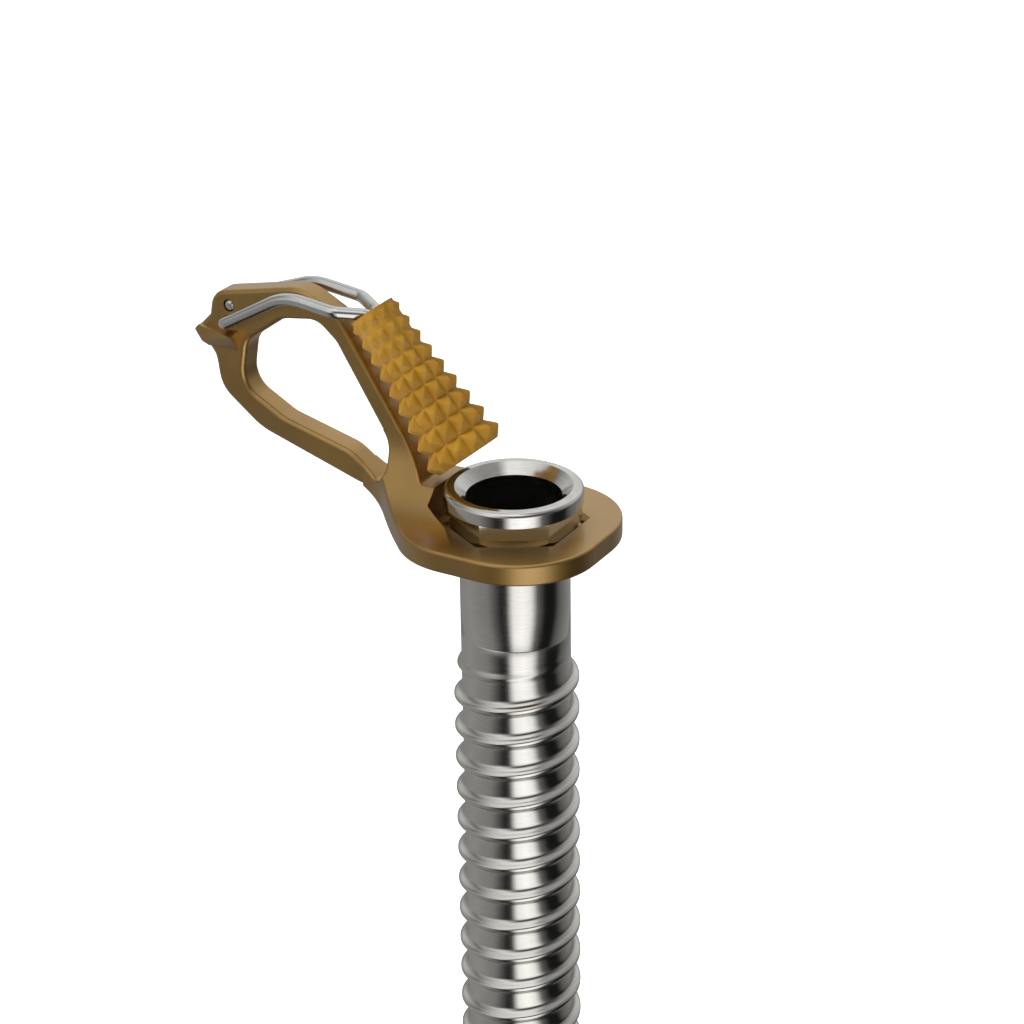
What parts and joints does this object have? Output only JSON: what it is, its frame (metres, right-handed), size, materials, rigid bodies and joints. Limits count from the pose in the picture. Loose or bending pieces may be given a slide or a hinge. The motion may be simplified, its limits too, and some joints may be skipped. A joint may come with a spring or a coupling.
{
  "type": "ice screw",
  "caption": "Tubular ice screw with a threaded steel tube, hexagonal head, clip-in eye hanger and a folding wire crank with a spinning grip.",
  "frame": {"origin": "on the tube axis, at the underside of the hanger's plate, which is the face that meets the ice", "axes": "+Z along the tube axis towards the head, -X towards the tip of the clip-in eye, Y across the eye's thickness"},
  "size_m": [0.0673, 0.0296, 0.1925],
  "materials": {
    "tube_steel": "polished, fine turning marks",
    "head_steel": "polished",
    "hanger_gold": "bronze-gold anodised, satin",
    "wire_steel": "bright drawn wire",
    "core_steel": "turned",
    "knob_plastic": "moulded, matte mustard yellow",
    "cap_plastic": "moulded, matte mustard yellow"
  },
  "bodies": {
    "screw": {"screw_tube": "tube_steel", "head_collar": "head_steel", "hanger": "hanger_gold", "wire_tail": "wire_steel"},
    "crank": {"crank_wire": "wire_steel", "knob_core": "core_steel"},
    "knob": {"knob_sleeve": "knob_plastic", "knob_cap": "cap_plastic"}
  },
  "joints": [
    {"name": "crank_fold", "type": "hinge", "parent": "screw", "child": "crank", "pos_m": [-0.0469, 0, 0.0254], "axis": [0, -1, 0], "range_deg": [0, 141]},
    {"name": "knob_spin", "type": "hinge", "parent": "crank", "child": "knob", "pos_m": [-0.023, 0, 0.0306], "axis": [0.6307, 0, -0.776], "continuous": true}
  ]
}
